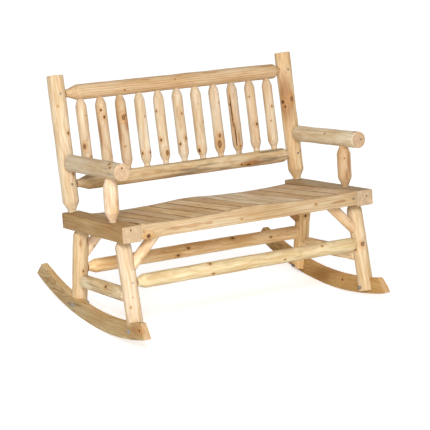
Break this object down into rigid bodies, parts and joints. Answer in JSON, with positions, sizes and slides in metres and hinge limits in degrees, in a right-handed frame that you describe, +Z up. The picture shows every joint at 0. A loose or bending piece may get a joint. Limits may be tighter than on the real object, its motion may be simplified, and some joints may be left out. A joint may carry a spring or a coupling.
{
  "type": "rocking bench",
  "caption": "Log-style rocking bench for two, with a slatted seat, round spindles in the back, round armrests and a pair of curved rocker boards.",
  "frame": {"origin": "on the floor, under the middle of the bench's outline, as it stands at rest", "axes": "+Z up, -Y the way a sitter looks, +X along the seat"},
  "size_m": [1.12, 0.9594, 0.9342],
  "materials": {
    "pale_log": "matte",
    "orange_log": "matte",
    "grey_log": "matte",
    "planed_fir": "matte",
    "rocker_fir": "matte",
    "slat_fir": "matte",
    "zinc_steel": "satin",
    "dark_steel": "satin"
  },
  "bodies": {
    "root": {"front_leg_left": "pale_log", "front_leg_right": "pale_log", "rear_leg_left": "pale_log", "rear_leg_right": "pale_log", "back_post_left": "pale_log", "arm_post_left": "pale_log", "arm_post_right": "pale_log", "front_stretcher": "pale_log", "back_spindle_01": "pale_log", "back_spindle_02": "pale_log", "back_spindle_03": "pale_log", "back_spindle_04": "pale_log", "back_spindle_05": "pale_log", "back_spindle_06": "pale_log", "back_spindle_07": "pale_log", "back_spindle_08": "pale_log", "back_spindle_09": "pale_log", "back_spindle_10": "pale_log", "back_spindle_11": "pale_log", "back_post_right": "orange_log", "back_top_rail": "orange_log", "back_bottom_rail": "orange_log", "rear_stretcher": "orange_log", "front_brace_left": "orange_log", "front_brace_right": "orange_log", "rear_brace_left": "orange_log", "rear_brace_right": "orange_log", "armrest_left": "grey_log", "armrest_right": "grey_log", "side_stretcher_left": "grey_log", "side_stretcher_right": "grey_log", "seat_side_rail_left": "planed_fir", "seat_side_rail_right": "planed_fir", "seat_front_rail": "planed_fir", "seat_rear_rail": "planed_fir", "rocker_left": "rocker_fir", "rocker_right": "rocker_fir", "seat_slat_01": "slat_fir", "seat_slat_02": "slat_fir", "seat_slat_03": "slat_fir", "seat_slat_04": "slat_fir", "seat_slat_05": "slat_fir", "seat_slat_06": "slat_fir", "seat_slat_07": "slat_fir", "seat_slat_08": "slat_fir", "seat_slat_09": "slat_fir", "seat_slat_10": "slat_fir", "seat_slat_11": "slat_fir", "seat_slat_12": "slat_fir", "seat_slat_13": "slat_fir", "rocker_bolts": "zinc_steel", "rocker_washers": "zinc_steel", "rocker_nuts": "zinc_steel", "post_screws": "dark_steel", "leg_screws": "dark_steel", "rail_screws": "dark_steel"}
  },
  "joints": []
}
